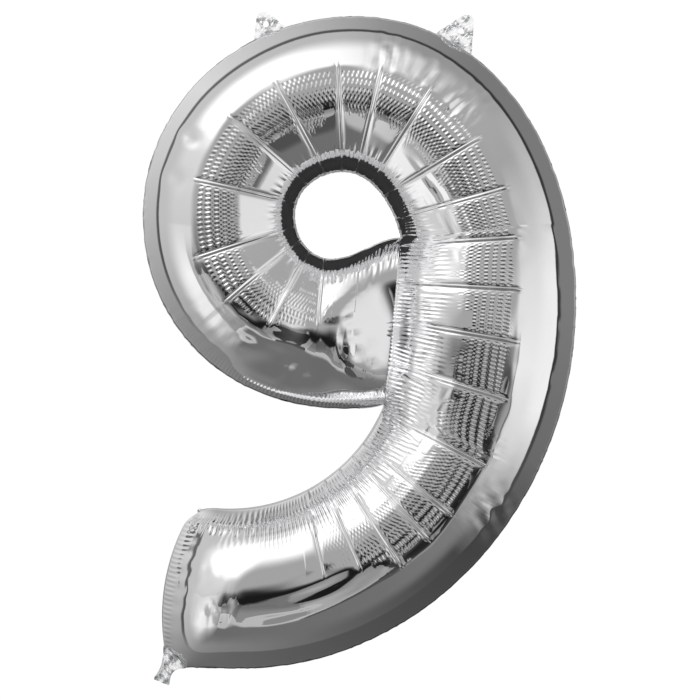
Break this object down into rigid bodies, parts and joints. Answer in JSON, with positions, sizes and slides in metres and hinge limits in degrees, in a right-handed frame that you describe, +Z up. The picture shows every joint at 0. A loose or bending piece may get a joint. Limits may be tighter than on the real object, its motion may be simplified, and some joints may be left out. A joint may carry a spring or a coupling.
{
  "type": "foil number balloon",
  "caption": "Silver foil balloon in the shape of the figure nine, with hanging tabs and a filling neck.",
  "frame": {"origin": "midway between the two eyelets, where the figure hangs from", "axes": "+Z up the figure, -Y the side that reads as a nine, +X to the reader's right"},
  "size_m": [0.574, 0.207, 0.8936],
  "materials": {
    "silver_foil": "mirror-bright metallised film, wrinkled along the seams",
    "sealed_foil": "heat-sealed film edge, finely puckered",
    "clear_film": "clear crinkled film",
    "sealed_film": "clear film, heat-sealed flat",
    "valve_film": "thin milky valve film"
  },
  "bodies": {
    "envelope": {"front_foil_panel": "silver_foil", "back_foil_panel": "silver_foil", "outer_seam_weld": "sealed_foil", "hole_seam_weld": "sealed_foil", "valve_front_film": "valve_film", "valve_back_film": "valve_film"},
    "left_tab": {"left_hanging_tab": "clear_film"},
    "right_tab": {"right_hanging_tab": "clear_film"},
    "neck": {"neck_front_film": "clear_film", "neck_back_film": "clear_film", "neck_left_seal": "sealed_film", "neck_right_seal": "sealed_film"}
  },
  "joints": [
    {"name": "left_tab_fold", "type": "hinge", "parent": "envelope", "child": "left_tab", "pos_m": [-0.12469, 0, -0.00673], "axis": [0.9239, 0, 0.3826], "range_deg": [-75, 75], "stiffness_Nm_per_rad": 0.0005},
    {"name": "right_tab_fold", "type": "hinge", "parent": "envelope", "child": "right_tab", "pos_m": [0.12026, 0, -0.02029], "axis": [0.8592, 0, -0.5116], "range_deg": [-75, 75], "stiffness_Nm_per_rad": 0.0005},
    {"name": "neck_fold", "type": "hinge", "parent": "envelope", "child": "neck", "pos_m": [-0.2497, 0, -0.83315], "axis": [0.7109, 0, -0.7033], "range_deg": [-75, 75], "stiffness_Nm_per_rad": 0.0005}
  ]
}
